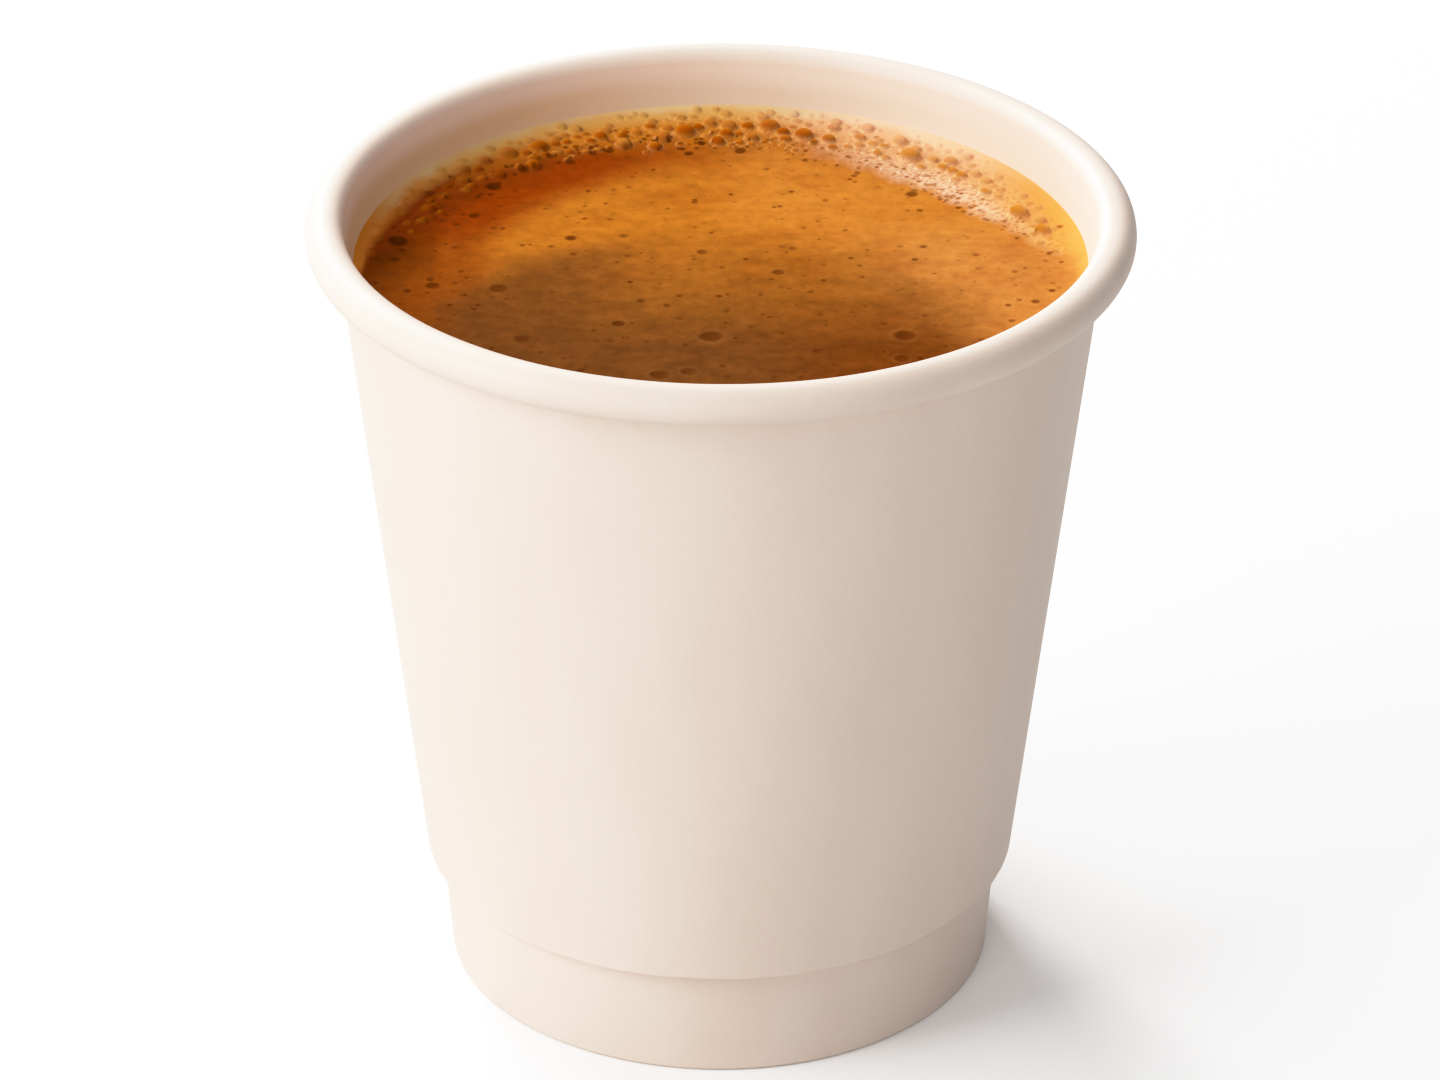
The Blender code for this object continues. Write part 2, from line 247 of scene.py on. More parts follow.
# Patterns: (cells in a metre, detail, roughness, distortion) of a noise, and how it is stretched
BLOTCHES, BLOTCH_STRETCH = (160.0, 2.0), (1.0, 1.0, 0.35)
FIBRES = (2600.0, 4.0, 0.65)
SWIRL = (210.0, 3.0, 0.55, 0.6)
MOTTLE = (900.0, 5.0, 0.62)
STREAKS, STREAK_STRETCH = (620.0, 3.0, 0.55), (0.45, 1.0, 1.0)
CLOUDS, CLOUD_STRETCH = (420.0, 4.0, 0.65), (0.6, 1.0, 1.0)
BREW_CLOUDS = (120.0, 3.0)
CELLS_PER_METRE = 1900.0
STIR, STIR_CELLS = 3.0 * MM, 150.0  # the tones' edges wander by about this much

# Ramps: (from, to) or (from, to, value at from, value at to)
BLOTCH_RAMP, FIBRE_RAMP, FIBRE_SHARE = (0.25, 0.75), (0.3, 0.7), 0.18
BOARD_ROUGHNESS = (0.2, 0.8, 0.42, 0.6)
SWIRL_RAMP = (0.42, 0.68, 0.0, 0.22)
MOTTLE_RAMP = CLOUD_RAMP = (0.3, 0.7, 0.88, 1.12)
STREAK_RAMP = (0.3, 0.7, 0.94, 1.06)
CLOUDY_FRONT = (0.1, 0.7)
CELL_RAMP, CELL_FADE = (0.02, 0.32), (0.35, 0.9, 1.0, 0.25)
BREW_RAMP = (0.3, 0.7)
TO_MIDDLE, TO_OUTER = (0.15, 0.62), (0.6, 0.95)  # the froth's tones by how near the wall it is
CAP_TOP, CAP_LOWER = (0.1, 0.5), (0.42, 0.85)  # a bubble's painted light and shade, from the wall's side inwards
PALE_HUES, DEEP_HUES = (0.4, 1.0, 0.0, 0.45), (0.38, 0.1, 0.0, 0.75)
DEEP_FADE, CAP_GOLD = (0.7, 0.4), (0.55, 0.95, 0.0, 0.6)
CAP_SHOWN, CAP_FADE = (0.0, 0.7), (0.45, 0.95, 1.0, 0.7)
FOAM_ROUGHNESS = (0.0, 1.0, 0.46, 0.34)
WET_RIGHT, WET_PIT = (0.0, 1.0, 0.03, 0.5), (0.1, 0.4, 1.0, 0.0)
WET_BUBBLE, WET_WALL = (0.1, 0.5, 1.0, 0.1), (0.0, 1.0, 1.0, 0.0)
THIN_SKIN = (0.0, 0.3, 0.0, 1.6)  # light goes through bubbles: they are shaded flatter than they are

# The inside of the cup: painted shade and bounce light start on the roll's inner side, just below the
# rim, and change along X, in mm
TINT_DEPTHS, TINT_SOFTNESS = (0.4, 1.4), 0.1 * MM
INSIDE_X = (-20.0, 2.0), (2.0, 22.0)
UPPER_X, UPPER_RISE = (-6.0, -18.0), 2.6 * MM  # above the mouth

# Gloss and relief
BOARD_SPECULAR, FIBRE_HEIGHT = 0.35, 0.03 * MM
FOAM_COAT, FOAM_BUMP, FOAM_BUMP_HEIGHT = 0.32, 0.35, 0.06 * MM
BREW_ROUGHNESS, BREW_COAT = 0.08, 0.5

# Colours, as linear RGB
AMBER = (0.455, 0.141, 0.012)
LIT_AMBER = (0.54, 0.18, 0.022)
PALE_AMBER = (0.54, 0.195, 0.036)
# Deep amber: the crema's own deeper swirls, and painted shade in the band inside the froth
DEEP_AMBER_AND_SHADE = (0.258, 0.038, 0.0015)
# Painted shade on the left of the crema, and darker near its wall
LEFT_SHADED_AMBER = (0.285, 0.064, 0.005)
LEFT_EDGE_SHADE = (0.168, 0.034, 0.002)
# The brown patch at the front: partly the crema's own darker tone, partly painted shade
BROWN = (0.15, 0.047, 0.0092)
RED_BROWN = (0.152, 0.038, 0.0044)
FROTH_HONEY = (0.8, 0.3, 0.05)
FILM_BROWN, FILM_PALE = (0.38, 0.095, 0.006), (0.8, 0.42, 0.14)
FINE_BROWN, FINE_AMBER = (0.3, 0.07, 0.003), (0.5, 0.17, 0.03)
PIT_BROWN, PORE_AMBER = (0.08, 0.016, 0.001), (0.28, 0.085, 0.008)
COFFEE_DARK, COFFEE_LIGHT = (0.022, 0.008, 0.004), (0.05, 0.02, 0.009)
BOARD_LIGHT, BOARD_DEEP = (0.86, 0.705, 0.6), (0.8, 0.635, 0.525)
# Painted shade on the upper inside of the cup, on the left
UPPER_INSIDE_SHADE = (0.69, 0.47, 0.26)
FLOOR_SEEN, FLOOR_BOUNCE = (1.12,) * 3, (0.62,) * 3

# Those that change along X: for the left, the centre and the right
# The froth's darker left is partly painted shade under the rim's shadow, and its pale right near the
# inner edge is partly a painted sheen of wet glints
FROTH_INSIDE = (0.19, 0.027, 0.001), (0.46, 0.125, 0.005), (0.92, 0.53, 0.34)
FROTH_MIDWAY = (0.25, 0.036, 0.001), (0.62, 0.21, 0.016), (0.86, 0.39, 0.155)
FROTH_OUTSIDE = (0.74, 0.235, 0.028), (0.8, 0.42, 0.105), (0.95, 0.48, 0.26)
# A bubble's cap: painted light on top and on the wall's side, painted shade towards the axis
BUBBLE_TOP = (0.3, 0.085, 0.004), (0.66, 0.28, 0.05), (0.86, 0.42, 0.14)
BUBBLE_UPPER = (0.3, 0.062, 0.0015), (0.5, 0.135, 0.004), (0.7, 0.235, 0.027)
BUBBLE_LOWER = (0.17, 0.026, 0.0004), (0.34, 0.064, 0.001), (0.54, 0.18, 0.018)
AT_WALL = (0.66, 0.225, 0.022), (0.78, 0.52, 0.25), (0.95, 0.6, 0.4)
# Painted shade and the coffee's warm bounce light inside the cup
INSIDE_SHADE_AND_BOUNCE = (0.74, 0.53, 0.34), (0.7, 0.56, 0.445), (0.8, 0.635, 0.525)

# Studio: (name, azimuth and height in degrees seen from the cup, distance and size in metres, watts)
SOFT_LIGHTS = (
    ("key", 111.0, 22.0, 0.6, 0.16, 2.8),
    ("back", 130.0, 45.0, 0.7, 0.4, 2.7),
    ("side", 200.0, 33.0, 0.7, 0.4, 3.75),
    ("front", 250.0, 14.0, 0.7, 0.4, 1.25),
)
WORLD_STRENGTH = 0.41
FLOOR_HALF = 3.0

# Camera: as the photograph's outlines give it; angles in degrees, lens and sensor in mm
CAMERA_DISTANCE = 502.68 * MM
CAMERA_HEIGHT_ANGLE = 28.386
CAMERA_ROLL = 0.15
CAMERA_AIM_Z = 34.6 * MM
CAMERA_LENS = 164.43
CAMERA_SENSOR = 36.0
CAMERA_NEAR = 0.01

# Highlights ease off instead of clipping: (light in the scene, light shown)
SHOULDER = (
    (0.0, 0.0), (0.3, 0.3), (0.6, 0.595), (0.75, 0.722), (0.88, 0.8), (1.01, 0.863),
    (1.15, 0.92), (1.4, 0.965), (1.8, 1.0),
)


# Meshes from arrays

def round_axis(angle, distance, *values):
    """Rows of (x, y, *values) for places given by an angle in radians and a distance."""
    return np.stack((distance * np.cos(angle), distance * np.sin(angle), *values), axis=-1)


def grid_quads(rows, columns, closed):
    """Quads between neighbouring points of a grid; a closed grid's last column joins its first."""
    row, column = np.meshgrid(np.arange(rows - 1), np.arange(columns - (not closed)), indexing="ij")
    beside = (column + 1) % columns
    corners = (row * columns + column, row * columns + beside)
    corners += ((row + 1) * columns + beside, (row + 1) * columns + column)
    return np.stack(corners, axis=-1).reshape(-1, 4)


def new_object(name, data):
    """An object in the scene, at the origin."""
    obj = bpy.data.objects.new(name, data)
    bpy.context.scene.collection.objects.link(obj)
    return obj


def new_piece(name, node, points, faces, material, crease, marks=None):
    """A smooth-shaded mesh object from arrays, on the one body; marks are values for each point."""
    mesh = bpy.data.meshes.new(name)
    mesh.from_pydata(points.tolist(), [], [face for group in faces for face in group.tolist()])
    mesh.shade_smooth()
    mesh.set_sharp_from_angle(angle=math.radians(crease))
    for mark, values in (marks or {}).items():
        layer = mesh.attributes.new(mark, "FLOAT", "POINT")
        layer.data.foreach_set("value", np.ascontiguousarray(values, np.float32))
    mesh.materials.append(material)
    obj = new_object(name, mesh)
    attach(obj, "root")
    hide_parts(node)
    return obj


# Outlines, each a closed loop of (radius, z)

def arc(centre, radius, start, end):
    """Points on a circle from one angle to another, in degrees, at most ARC_STEP apart."""
    turns = np.radians(np.linspace(start, end, 1 + math.ceil(abs(end - start) / ARC_STEP)))
    return [(centre[0] + radius * math.cos(a), centre[1] + radius * math.sin(a)) for a in turns]


def full_quarter(centre, radius, start, end):
    """Points on a fuller curve than a circle, |x|^n + |y|^n = radius^n, where n is ROLL_FULLNESS."""
    turns = np.radians(np.linspace(start, end, 1 + math.ceil(abs(end - start) / (0.5 * ARC_STEP))))
    n = ROLL_FULLNESS
    reach = [radius * (abs(math.cos(a)) ** n + abs(math.sin(a)) ** n) ** (-1.0 / n) for a in turns]
    return [(centre[0] + r * math.cos(a), centre[1] + r * math.sin(a)) for r, a in zip(reach, turns)]


def stretched(outline):
    """The outline with points added, so that no straight side is longer than WALL_STEP."""
    filled = []
    for start, end in zip(outline, outline[1:] + outline[:1]):
        pieces = max(1, math.ceil(math.dist(start, end) / WALL_STEP))
        filled += [tuple(np.add(start, np.subtract(end, start) * i / pieces)) for i in range(pieces)]
    return np.array(filled)


def line_radius(z, low, high):
    """Radius at height z on the straight line from low to high, each (radius, z)."""
    return low[0] + (z - low[1]) / (high[1] - low[1]) * (high[0] - low[0])


def cup_outside(z):
    """Radius of the inner cup's outside at height z."""
    foot, shoulder, mouth = (FOOT_RADIUS, 0.0), (SHOULDER_RADIUS, SHOULDER_Z), (MOUTH_RADIUS, MOUTH_Z)
    return line_radius(z, foot, shoulder) if z < SHOULDER_Z else line_radius(z, shoulder, mouth)


def wrap_outside(z):
    """Radius of the wrap's outside at height z."""
    return line_radius(z, (WRAP_FOOT_RADIUS, WRAP_FOOT_Z), (WRAP_TOP_RADIUS, WRAP_TOP_Z))


def inner_cup_outline():
    """Fold at the foot, up the outside, round the rolled rim and down the inside."""
    centre = (RIM_RADIUS - ROLL_RADIUS, CUP_HEIGHT - ROLL_RADIUS)
    across, up = centre[0] - (MOUTH_RADIUS - PAPER), centre[1] - MOUTH_Z
    flare = math.atan2(up, across) + math.asin(ROLL_RADIUS / math.hypot(across, up))
    inset = 2.0 * (PAPER + GAP)
    hem = cup_outside(0.0) - inset - PAPER
    return (
        [(cup_outside(PAPER) - inset, PAPER), (cup_outside(HEM_HEIGHT) - inset, HEM_HEIGHT)]
        + [(cup_outside(HEM_HEIGHT) - inset - PAPER, HEM_HEIGHT)]
        + arc((hem + FOLD_ROUND, FOLD_ROUND), FOLD_ROUND, 180.0, 270.0)
        + arc((FOOT_RADIUS - FOLD_ROUND, FOLD_ROUND), FOLD_ROUND, 270.0, 360.0)
        + [(SHOULDER_RADIUS, SHOULDER_Z), (MOUTH_RADIUS, MOUTH_Z)]
        + arc(centre, ROLL_RADIUS, ROLL_END, 90.0 - ARC_STEP)
        + full_quarter(centre, ROLL_RADIUS, 90.0, 90.0 + math.degrees(flare))
        + [(MOUTH_RADIUS - PAPER, MOUTH_Z), (SHOULDER_RADIUS - PAPER, SHOULDER_Z)]
        + [(cup_outside(PAPER) - PAPER, PAPER)]
    )


def base_disc_outline():
    """Half the section of a shallow pan upside down, from the axis out to its skirt and back."""
    inset = foot = PAPER + GAP
    edge = cup_outside(BASE_TOP) - inset
    under = cup_outside(BASE_TOP - PAPER) - inset - PAPER
    small = BASE_ROUND - PAPER
    return (
        [(0.0, BASE_TOP - PAPER)]
        + arc((under - small, BASE_TOP - BASE_ROUND), small, 90.0, 0.0)
        + [(cup_outside(foot) - inset - PAPER, foot), (cup_outside(foot) - inset, foot)]
        + arc((edge - BASE_ROUND, BASE_TOP - BASE_ROUND), BASE_ROUND, 0.0, 90.0)
        + [(0.0, BASE_TOP)]
    )


def outer_wrap_outline():
    """The wrap's cone, with its lower edge folded in against the inner cup."""
    low, top, small = WRAP_FOOT_Z, WRAP_FOOT_Z + WRAP_HEM_HEIGHT, WRAP_EDGE_ROUND
    return (
        arc((cup_outside(low) + GAP + small, low + small), small, 180.0, 270.0)
        + arc((WRAP_FOOT_RADIUS - small, low + small), small, 270.0, 360.0)
        + [(WRAP_TOP_RADIUS, WRAP_TOP_Z), (WRAP_TOP_RADIUS - PAPER, WRAP_TOP_Z)]
        + [(wrap_outside(top) - PAPER, top), (cup_outside(top) + GAP, top)]
    )


# Turned pieces

def ripple(kind, angle, height):
    """A sum of sines round the cup, each leaning a little with height, between about -1 and 1."""
    waves, seed = RIPPLES[kind]
    draw = np.random.default_rng(seed)
    total = np.zeros(np.broadcast(angle, height).shape)
    for count in waves:
        lean = draw.uniform(-LARGEST_LEAN, LARGEST_LEAN)
        start = draw.uniform(0.0, 2.0 * math.pi)
        total += np.sin(count * angle + lean * height + start)
    return total / len(waves)


def turned(name, node, outline, material, sway):
    """The outline turned round Z: (r + out, z + up), where sway gives (out, up) at each point.

    The angles are even steps and one close pair, so that the seam's step is crisp. An outline that
    starts and ends on the axis gets one point there at each end."""
    section = stretched(outline)
    angle = np.radians(np.linspace(0.0, 360.0, TURN_STEPS, endpoint=False))
    angle = np.sort(np.append(angle, math.radians(SEAM_ANGLE) + np.array(SEAM_PAIR)))
    radius, height = section[:, :1], section[:, 1:]
    out, up = sway(angle[None, :], radius, height)
    reach = radius + out * (radius > 0.0)
    points = round_axis(angle, reach, height + up + 0.0 * angle)
    rows, columns = len(section), len(angle)
    if section[0, 0] > 0.0:
        faces = [grid_quads(rows + 1, columns, True) % (rows * columns)]
        points = points.reshape(-1, 3)
    else:
        here, beside = np.arange(columns), (np.arange(columns) + 1) % columns
        last = (rows - 3) * columns
        poles = points[[0, -1], 0]
        points = np.vstack((points[1:-1].reshape(-1, 3), poles))
        low_pole, high_pole = (np.full(columns, len(points) - i) for i in (2, 1))
        low = np.stack((low_pole, beside, here), axis=-1)
        high = np.stack((high_pole, last + here, last + beside), axis=-1)
        faces = [grid_quads(rows - 2, columns, True), low, high]
    return new_piece(name, node, points, faces, material, PAPER_CREASE)


def cup_sway(angle, radius, height):
    """Out: the paper's own unevenness, most on the rolled rim, none where the cup stands."""
    lift = np.clip((height - SHOULDER_Z) / (MOUTH_Z - SHOULDER_Z), 0.0, 1.0)
    rim = np.clip((height - MOUTH_Z) / (CUP_HEIGHT - MOUTH_Z), 0.0, 1.0)
    out = WALL_SWAY * lift * ripple("wall", angle, height)
    out = out - RIM_SWAY * rim * (0.5 + 0.5 * ripple("rim", angle, height))
    return out, 0.0 * angle


def wrap_sway(angle, radius, height):
    """Out: unevenness and the overlap's step. Up: the lower edge wanders a little."""
    seam = math.radians(SEAM_ANGLE)
    lead = 1.0 - (seam - angle) / math.radians(SEAM_LEAD)
    overlap = SEAM_STEP * np.where(angle <= seam, np.clip(lead, 0.0, 1.0) ** 2, 0.0)
    low = np.clip(1.0 - (height - WRAP_FOOT_Z) / EDGE_SWAY_Z, 0.0, 1.0)
    up = EDGE_SWAY * low**2 * ripple("wrap_edge", angle, 0.0)
    outer = radius > wrap_outside(height) - 0.5 * PAPER
    out = outer * (overlap + WRAP_SWAY * ripple("wrap", angle, height))
    return out, up


def still(angle, radius, height):
    """No sway, for the base disc."""
    return 0.0 * angle, 0.0 * angle


# Crema

def drink_edge(z):
    """Radius of the drink at height z, reaching just into the wall."""
    return cup_outside(z) - PAPER + INTO_WALL


def round_cup(x, y, edge):
    """An edge given as (angle, radius in mm) read off at the angle of each point."""
    angles, radii = np.array(edge, float).T
    return np.interp(np.degrees(np.arctan2(y, x)), angles, radii, period=360.0) * MM


def froth_cover(x, y):
    """How much froth lies at a place, 0 to 1: none inside its inner edge, which is lumpy."""
    edge = round_cup(x, y, FROTH_INNER) + FROTH_LUMPS * ripple("froth", np.arctan2(y, x), 0.0)
    return np.clip((np.hypot(x, y) - edge) / FROTH_FADE, 0.0, 1.0)


def froth_bubbles():
    """(x, y, radius) of the larger bubbles, then of smaller and smaller ones where there is room."""
    draw = np.random.default_rng(FINE_SEED)
    angle, distance, radius = np.array(BUBBLES).T
    kept = round_axis(np.radians(angle), distance, radius) * MM
    for size, tries in zip(FINE_RADII, FINE_TRIES):
        radius = size * MM * draw.uniform(*FINE_JITTER, tries)
        angle = draw.uniform(0.0, 2.0 * math.pi, tries)
        distance = np.sqrt(draw.uniform(*np.square(FINE_SPAN), tries))
        x, y = distance * np.cos(angle), distance * np.sin(angle)
        inset = round_cup(x, y, FROTH_INNER) + INNER_ROOM * radius
        inset += GRAIN_REACH * (radius > GRAIN) * np.interp(x, FADING, (0.0, 1.0))
        outset = round_cup(x, y, FROTH_OUTER) - OUTER_ROOM * radius
        outset = np.where(radius < TINY, np.minimum(outset, inset + TINY_REACH), outset)
        for size_limit, until in ((TINY, TINY_UNTIL), (SMALL, SMALL_UNTIL)):
            outset = np.where((radius < size_limit) & (np.degrees(angle) > until), 0.0, outset)
        lies = draw.random(tries) < FINE_LEAST + froth_cover(x, y)
        lies &= (distance > inset) & (distance < outset)
        for new in round_axis(angle, distance, radius)[lies]:
            apart = np.hypot(kept[:, 0] - new[0], kept[:, 1] - new[1])
            if (apart > CLOSENESS * (kept[:, 2] + new[2])).all():
                kept = np.vstack((kept, new))
    return kept


def all_pits():
    """(x, y, radius, darkness) of the named pits, of specks over the whole crema and of the pores."""
    draw = np.random.default_rng(SPECK_SEED)
    smallest, largest = SPECK_SIZES
    radius = smallest + (largest - smallest) * draw.random(SPECK_COUNT) ** 2.0
    angle = draw.uniform(0.0, 2.0 * math.pi, SPECK_COUNT)
    distance = SPECK_SPAN * np.sqrt(draw.random(SPECK_COUNT))
    darkness = draw.uniform(*SPECK_DARKNESS, SPECK_COUNT)
    specks = round_axis(angle, distance, radius, darkness)
    angle = np.radians(draw.uniform(*PORE_ANGLES, PORE_COUNT))
    radius = draw.uniform(*PORE_SIZES, PORE_COUNT)
    inner = round_cup(np.cos(angle), np.sin(angle), FROTH_INNER)
    distance = inner + PORE_REACH * draw.random(PORE_COUNT)
    darkness = draw.uniform(*PORE_DARKNESS, PORE_COUNT)
    pores = round_axis(angle, distance, radius, darkness)
    return np.vstack((np.array(PITS) * (MM, MM, MM, 1.0), specks, pores))


def resting_level(x, y):
    """The foam's own level: flat with slight swells, risen against the wall, fuller under froth."""
    edge = drink_edge(CREMA_LEVEL + MENISCUS_RISE)
    climb = MENISCUS_RISE * np.exp((np.hypot(x, y) - edge) / MENISCUS_REACH)
    bend = 2.0 * np.sin(SWELL_BEND * y)
    swell = SWELL * (np.sin(SWELL_X * x + bend) + np.sin(SWELL_Y * y + 1.0))
    return CREMA_LEVEL + climb + swell + FROTH_BODY * froth_cover(x, y)


def crest(gap, middle, width):
    """1 where the gap is middle, falling off to both sides over the width, as a bell."""
    return np.exp(-(((gap - middle) / width) ** 2))


def crema_relief(x, y):
    """Height of the foam, and the marks that its material reads, at each point.

    Height = resting level, raised by the highest bubble's dome, sunk by each pit. A dome is a part of
    a ball, its height times the root of 1 - gap^2; a pit is a bowl, 1 - gap^2 deep, with a low lip
    round it; gap is the distance from the middle, 1 at the edge. The bubbles and pits are taken one by
    one, and the points near each as one array.

    Marks: bubble, how much of a bubble's own colour shows; inward, how far a point lies on the side of
    the axis; hue, a number drawn for each bubble; film, the pale film or lip; pit, the dark inside;
    froth, how much froth there is; wallward, how near the wall it lies."""
    order = np.argsort(x, kind="stable")
    sorted_x = x[order]

    def around(centre, radius, reach):
        first, last = np.searchsorted(sorted_x, (centre[0] - reach * radius, centre[0] + reach * radius))
        near = order[first:last]
        gap = np.hypot(x[near] - centre[0], y[near] - centre[1]) / radius
        return near[gap < reach], gap[gap < reach]

    raised, sunk = np.zeros_like(x), np.zeros_like(x)
    marks = {mark: np.zeros_like(x) for mark in ("bubble", "inward", "pit", "film", "hue")}
    hues = np.random.default_rng(FINE_SEED + 1)
    for place_x, place_y, radius in froth_bubbles():
        near, gap = around((place_x, place_y), radius, FILM_REACH)
        toward = -((x[near] - place_x) * place_x + (y[near] - place_y) * place_y)
        toward /= radius * math.hypot(place_x, place_y)
        film = min(1.0, radius / FILM_LEAST) ** 3 * crest(gap, FILM_CREST, FILM_WIDTH)
        film *= np.clip(FILM_SHARE - FILM_LEAN * toward, FILM_WEAKEST, 1.0)
        marks["film"][near] = np.maximum(marks["film"][near], film)
        near, toward, gap = near[gap < 1.0], toward[gap < 1.0], gap[gap < 1.0]
        rise = np.interp(radius, BUBBLE_SIZES, BUBBLE_HEIGHT) * np.interp(place_x, LOWERING, LOWERED)
        ball = radius * (rise * np.sqrt(1.0 - gap**2) - BUBBLE_SINK)
        top = ball > raised[near]
        near, toward, gap = near[top], toward[top], gap[top]
        raised[near] = ball[top]
        colour = np.clip((radius - np.interp(place_x, FADING, FADED)) / DEEPENING, 0.0, 1.0)
        marks["bubble"][near] = colour * (1.0 - gap**3)
        marks["hue"][near] = hues.random()
        marks["inward"][near] = 0.5 + 0.5 * toward
    for place_x, place_y, radius, darkness in all_pits():
        near, gap = around((place_x, place_y), radius, PIT_REACH)
        bowl = min(PIT_DEEPEST, PIT_DEPTH * radius) * np.clip(1.0 - gap**2, 0.0, 1.0)
        sunk[near] += LIP_HEIGHT * radius * crest(gap, LIP_CREST, LIP_WIDTH) - bowl
        dark = darkness * np.clip((PIT_EDGE - gap) / PIT_SOFTNESS, 0.0, 1.0)
        marks["pit"][near] = np.maximum(marks["pit"][near], dark)
        lip = PALE_LIP * (radius > LIPPED) * crest(gap, PALE_LIP_CREST, PALE_LIP_WIDTH)
        marks["film"][near] = np.maximum(marks["film"][near], lip)
    marks["film"] *= 1.0 - marks["bubble"]
    marks["froth"] = froth_cover(x, y)
    inner = np.minimum(round_cup(x, y, FROTH_INNER), WALLWARD - WALLWARD_LEAST)
    marks["wallward"] = np.clip((np.hypot(x, y) - inner) / (WALLWARD - inner), 0.0, 1.0)
    return resting_level(x, y) + raised + sunk, marks


def closed_sheet(name, plan, quads, rims, material):
    """The relief over a plan of points, closed by a wall under each rim and by a flat floor.

    rims are the loops of points, in order, where the relief ends. A disc has one, and its floor is a
    fan; a ring has its outer and then its inner one, and its floor is a strip between them."""
    x, y = plan[:, 0], plan[:, 1]
    height, marks = crema_relief(x, y)
    low = CREMA_LEVEL - CREMA_DEPTH
    shrink = drink_edge(low) / drink_edge(CREMA_LEVEL)
    points, faces, starts = [np.stack((x, y, height), axis=-1)], [quads], []
    steps = np.arange(len(rims[0]))
    beside = (steps + 1) % len(steps)
    for rim in rims:
        starts.append(start := sum(map(len, points)))
        points.append(np.stack((x[rim] * shrink, y[rim] * shrink, np.full(len(rim), low)), axis=-1))
        faces.append(np.stack((rim[beside], rim, start + steps, start + beside), axis=-1))
    edge = (starts[0] + beside, starts[0] + steps)
    if len(rims) == 2:
        opposite = len(steps) - 1 - steps
        inner, inner_beside = starts[1] + opposite, starts[1] + (opposite - 1) % len(steps)
        faces.append(np.stack((*edge, inner, inner_beside), axis=-1))
    else:
        centre = np.full(len(steps), sum(map(len, points)))
        points.append(np.array([[0.0, 0.0, low]]))
        faces.append(np.stack((*edge, centre), axis=-1))
    under = np.zeros(sum(map(len, points[1:])))
    marks = {mark: np.append(values, under) for mark, values in marks.items()}
    return new_piece(name, "crema", np.vstack(points), faces, material, FOAM_CREASE, marks)


def crema_middle(material):
    """A square grid of (u, v) in -1..1 eased onto a disc.

    A point's distance is the larger of |u| and |v|, and its angle runs evenly along each side."""
    line = np.linspace(-1.0, 1.0, MIDDLE_CELLS + 1)
    u, v = np.meshgrid(line, line)
    wide = np.abs(u) >= np.abs(v)
    far = np.maximum(np.abs(u), np.abs(v))
    with np.errstate(divide="ignore", invalid="ignore"):
        side = np.nan_to_num(np.where(wide, v / u, 2.0 - u / v))
    turn = 0.25 * math.pi * side + math.pi * np.where(wide, u < 0.0, v < 0.0)
    plan = MIDDLE_RADIUS * round_axis(turn, far).reshape(-1, 2)
    count = MIDDLE_CELLS + 1
    index = np.arange(count * count).reshape(count, count)
    rim = np.concatenate((index[0, :-1], index[:-1, -1], index[-1, :0:-1], index[:0:-1, 0]))
    return closed_sheet("crema_middle", plan, grid_quads(count, count, False), [rim], material)


def crema_ring(name, inner, outer, rows, material):
    """A ring of foam between two radii: radius by row, angle by column."""
    angle = np.linspace(0.0, 2.0 * math.pi, RING_COLUMNS, endpoint=False)
    radius = np.linspace(inner, outer, rows)[:, None]
    plan = round_axis(angle, radius).reshape(-1, 2)
    first = np.arange(RING_COLUMNS)
    last = (rows - 1) * RING_COLUMNS + first
    quads = grid_quads(rows, RING_COLUMNS, True)[:, ::-1]
    return closed_sheet(name, plan, quads, [last, first[::-1]], material)


# Materials

def is_socket(value):
    """Whether a value is a node's output, not a plain one."""
    return isinstance(value, bpy.types.NodeSocket)


def place(tree, kind, inputs=None, **settings):
    """Adds a node; an input takes a plain value or another node's output socket."""
    node = tree.nodes.new(kind)
    for name, value in settings.items():
        setattr(node, name, value)
    for name, value in (inputs or {}).items():
        if is_socket(value):
            tree.links.new(value, node.inputs[name])
        else:
            node.inputs[name].default_value = value
    return node


def new_material(name, **values):
    """A material with its Principled shader and the values that are the same all over it."""
    material = bpy.data.materials.new(name)
    material.use_nodes = True
    shader = material.node_tree.nodes["Principled BSDF"]
    for socket, value in values.items():
        shader.inputs[socket.replace("_", " ")].default_value = value
    return material, material.node_tree, shader


def connect(inputs, **sources):
    """Links an output to each input named, where _ stands for a space."""
    for name, source in sources.items():
        source.id_data.links.new(source, inputs[name.replace("_", " ")])


def new_group(name, inputs, outputs):
    """A shader node group; inputs are values by name, and of the outputs only Color is a colour."""
    tree = bpy.data.node_groups.new(name, "ShaderNodeTree")
    for label, value in inputs.items():
        kind = "NodeSocketFloat" if isinstance(value, float) else "NodeSocketColor"
        tree.interface.new_socket(label, in_out="INPUT", socket_type=kind).default_value = value
    for label in outputs:
        kind = "NodeSocketColor" if label == "Color" else "NodeSocketFloat"
        tree.interface.new_socket(label, in_out="OUTPUT", socket_type=kind)
    return tree, tree.nodes.new("NodeGroupInput").outputs, tree.nodes.new("NodeGroupOutput").inputs


def follow(kind, inputs, **settings):
    """Outputs of a node placed in the tree that its inputs come from."""
    tree = next(value.id_data for value in inputs.values() if is_socket(value))
    return place(tree, kind, inputs, **settings).outputs


def noise(vector, scale, detail=3.0, roughness=0.5, distortion=0.0, output="Fac"):
    inputs = {"Vector": vector, "Scale": scale, "Detail": detail}
    inputs.update(Roughness=roughness, Distortion=distortion)
    return follow("ShaderNodeTexNoise", inputs)[output]


